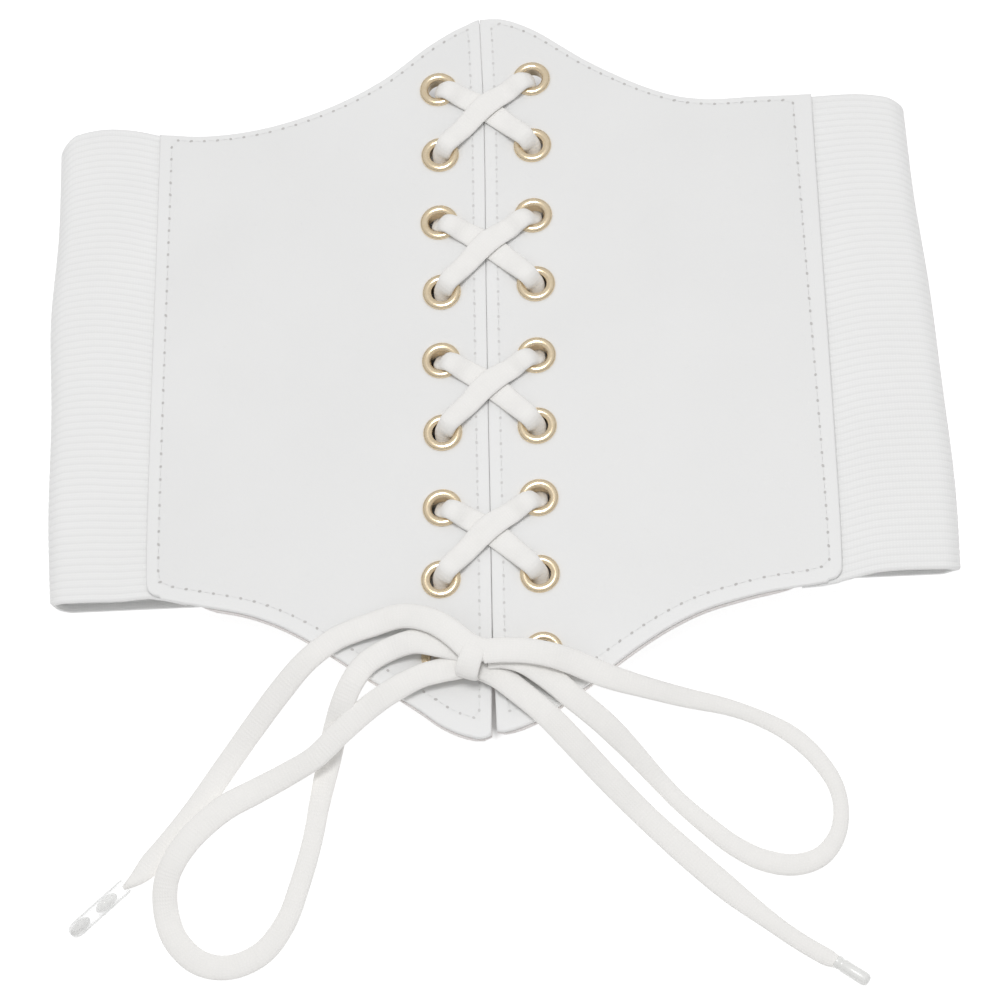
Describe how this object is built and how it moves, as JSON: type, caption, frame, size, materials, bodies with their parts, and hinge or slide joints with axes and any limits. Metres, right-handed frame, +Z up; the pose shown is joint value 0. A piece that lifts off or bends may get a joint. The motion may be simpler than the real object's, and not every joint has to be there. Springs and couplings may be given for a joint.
{
  "type": "corset belt",
  "caption": "Wide waist belt: two pointed leather panels laced together at the front through eyelets, joined round the back by a ribbed elastic band, with the lace tied in a bow.",
  "frame": {"origin": "centre of the belt's outline without the free lace, on the surface that it lies on", "axes": "+X along the waist, +Y towards the upper edge, +Z up out of the front panels"},
  "size_m": [0.2784, 0.3164, 0.0243],
  "materials": {
    "leather": "smooth coated, satin",
    "lining": "matt woven",
    "elastic": "ribbed, matt",
    "lace": "braided, matt",
    "eyelet": "polished pale gold",
    "clear_tip": "clear, glossy",
    "white_tip": "white, satin"
  },
  "bodies": {
    "root": {"front_panel_left": "leather", "front_panel_right": "leather", "panel_lining_left": "lining", "panel_lining_right": "lining", "elastic_band": "elastic", "eyelet_left_1": "eyelet", "eyelet_left_2": "eyelet", "eyelet_left_3": "eyelet", "eyelet_left_4": "eyelet", "eyelet_left_5": "eyelet", "eyelet_left_6": "eyelet", "eyelet_left_7": "eyelet", "eyelet_left_8": "eyelet", "eyelet_left_9": "eyelet", "eyelet_right_1": "eyelet", "eyelet_right_2": "eyelet", "eyelet_right_3": "eyelet", "eyelet_right_4": "eyelet", "eyelet_right_5": "eyelet", "eyelet_right_6": "eyelet", "eyelet_right_7": "eyelet", "eyelet_right_8": "eyelet", "eyelet_right_9": "eyelet", "lacing": "lace", "bow_knot": "lace", "bow_loop_left": "lace", "bow_loop_right": "lace", "lace_tail_left": "lace", "lace_tail_right": "lace", "aglet_left": "clear_tip", "aglet_right": "white_tip"}
  },
  "joints": []
}
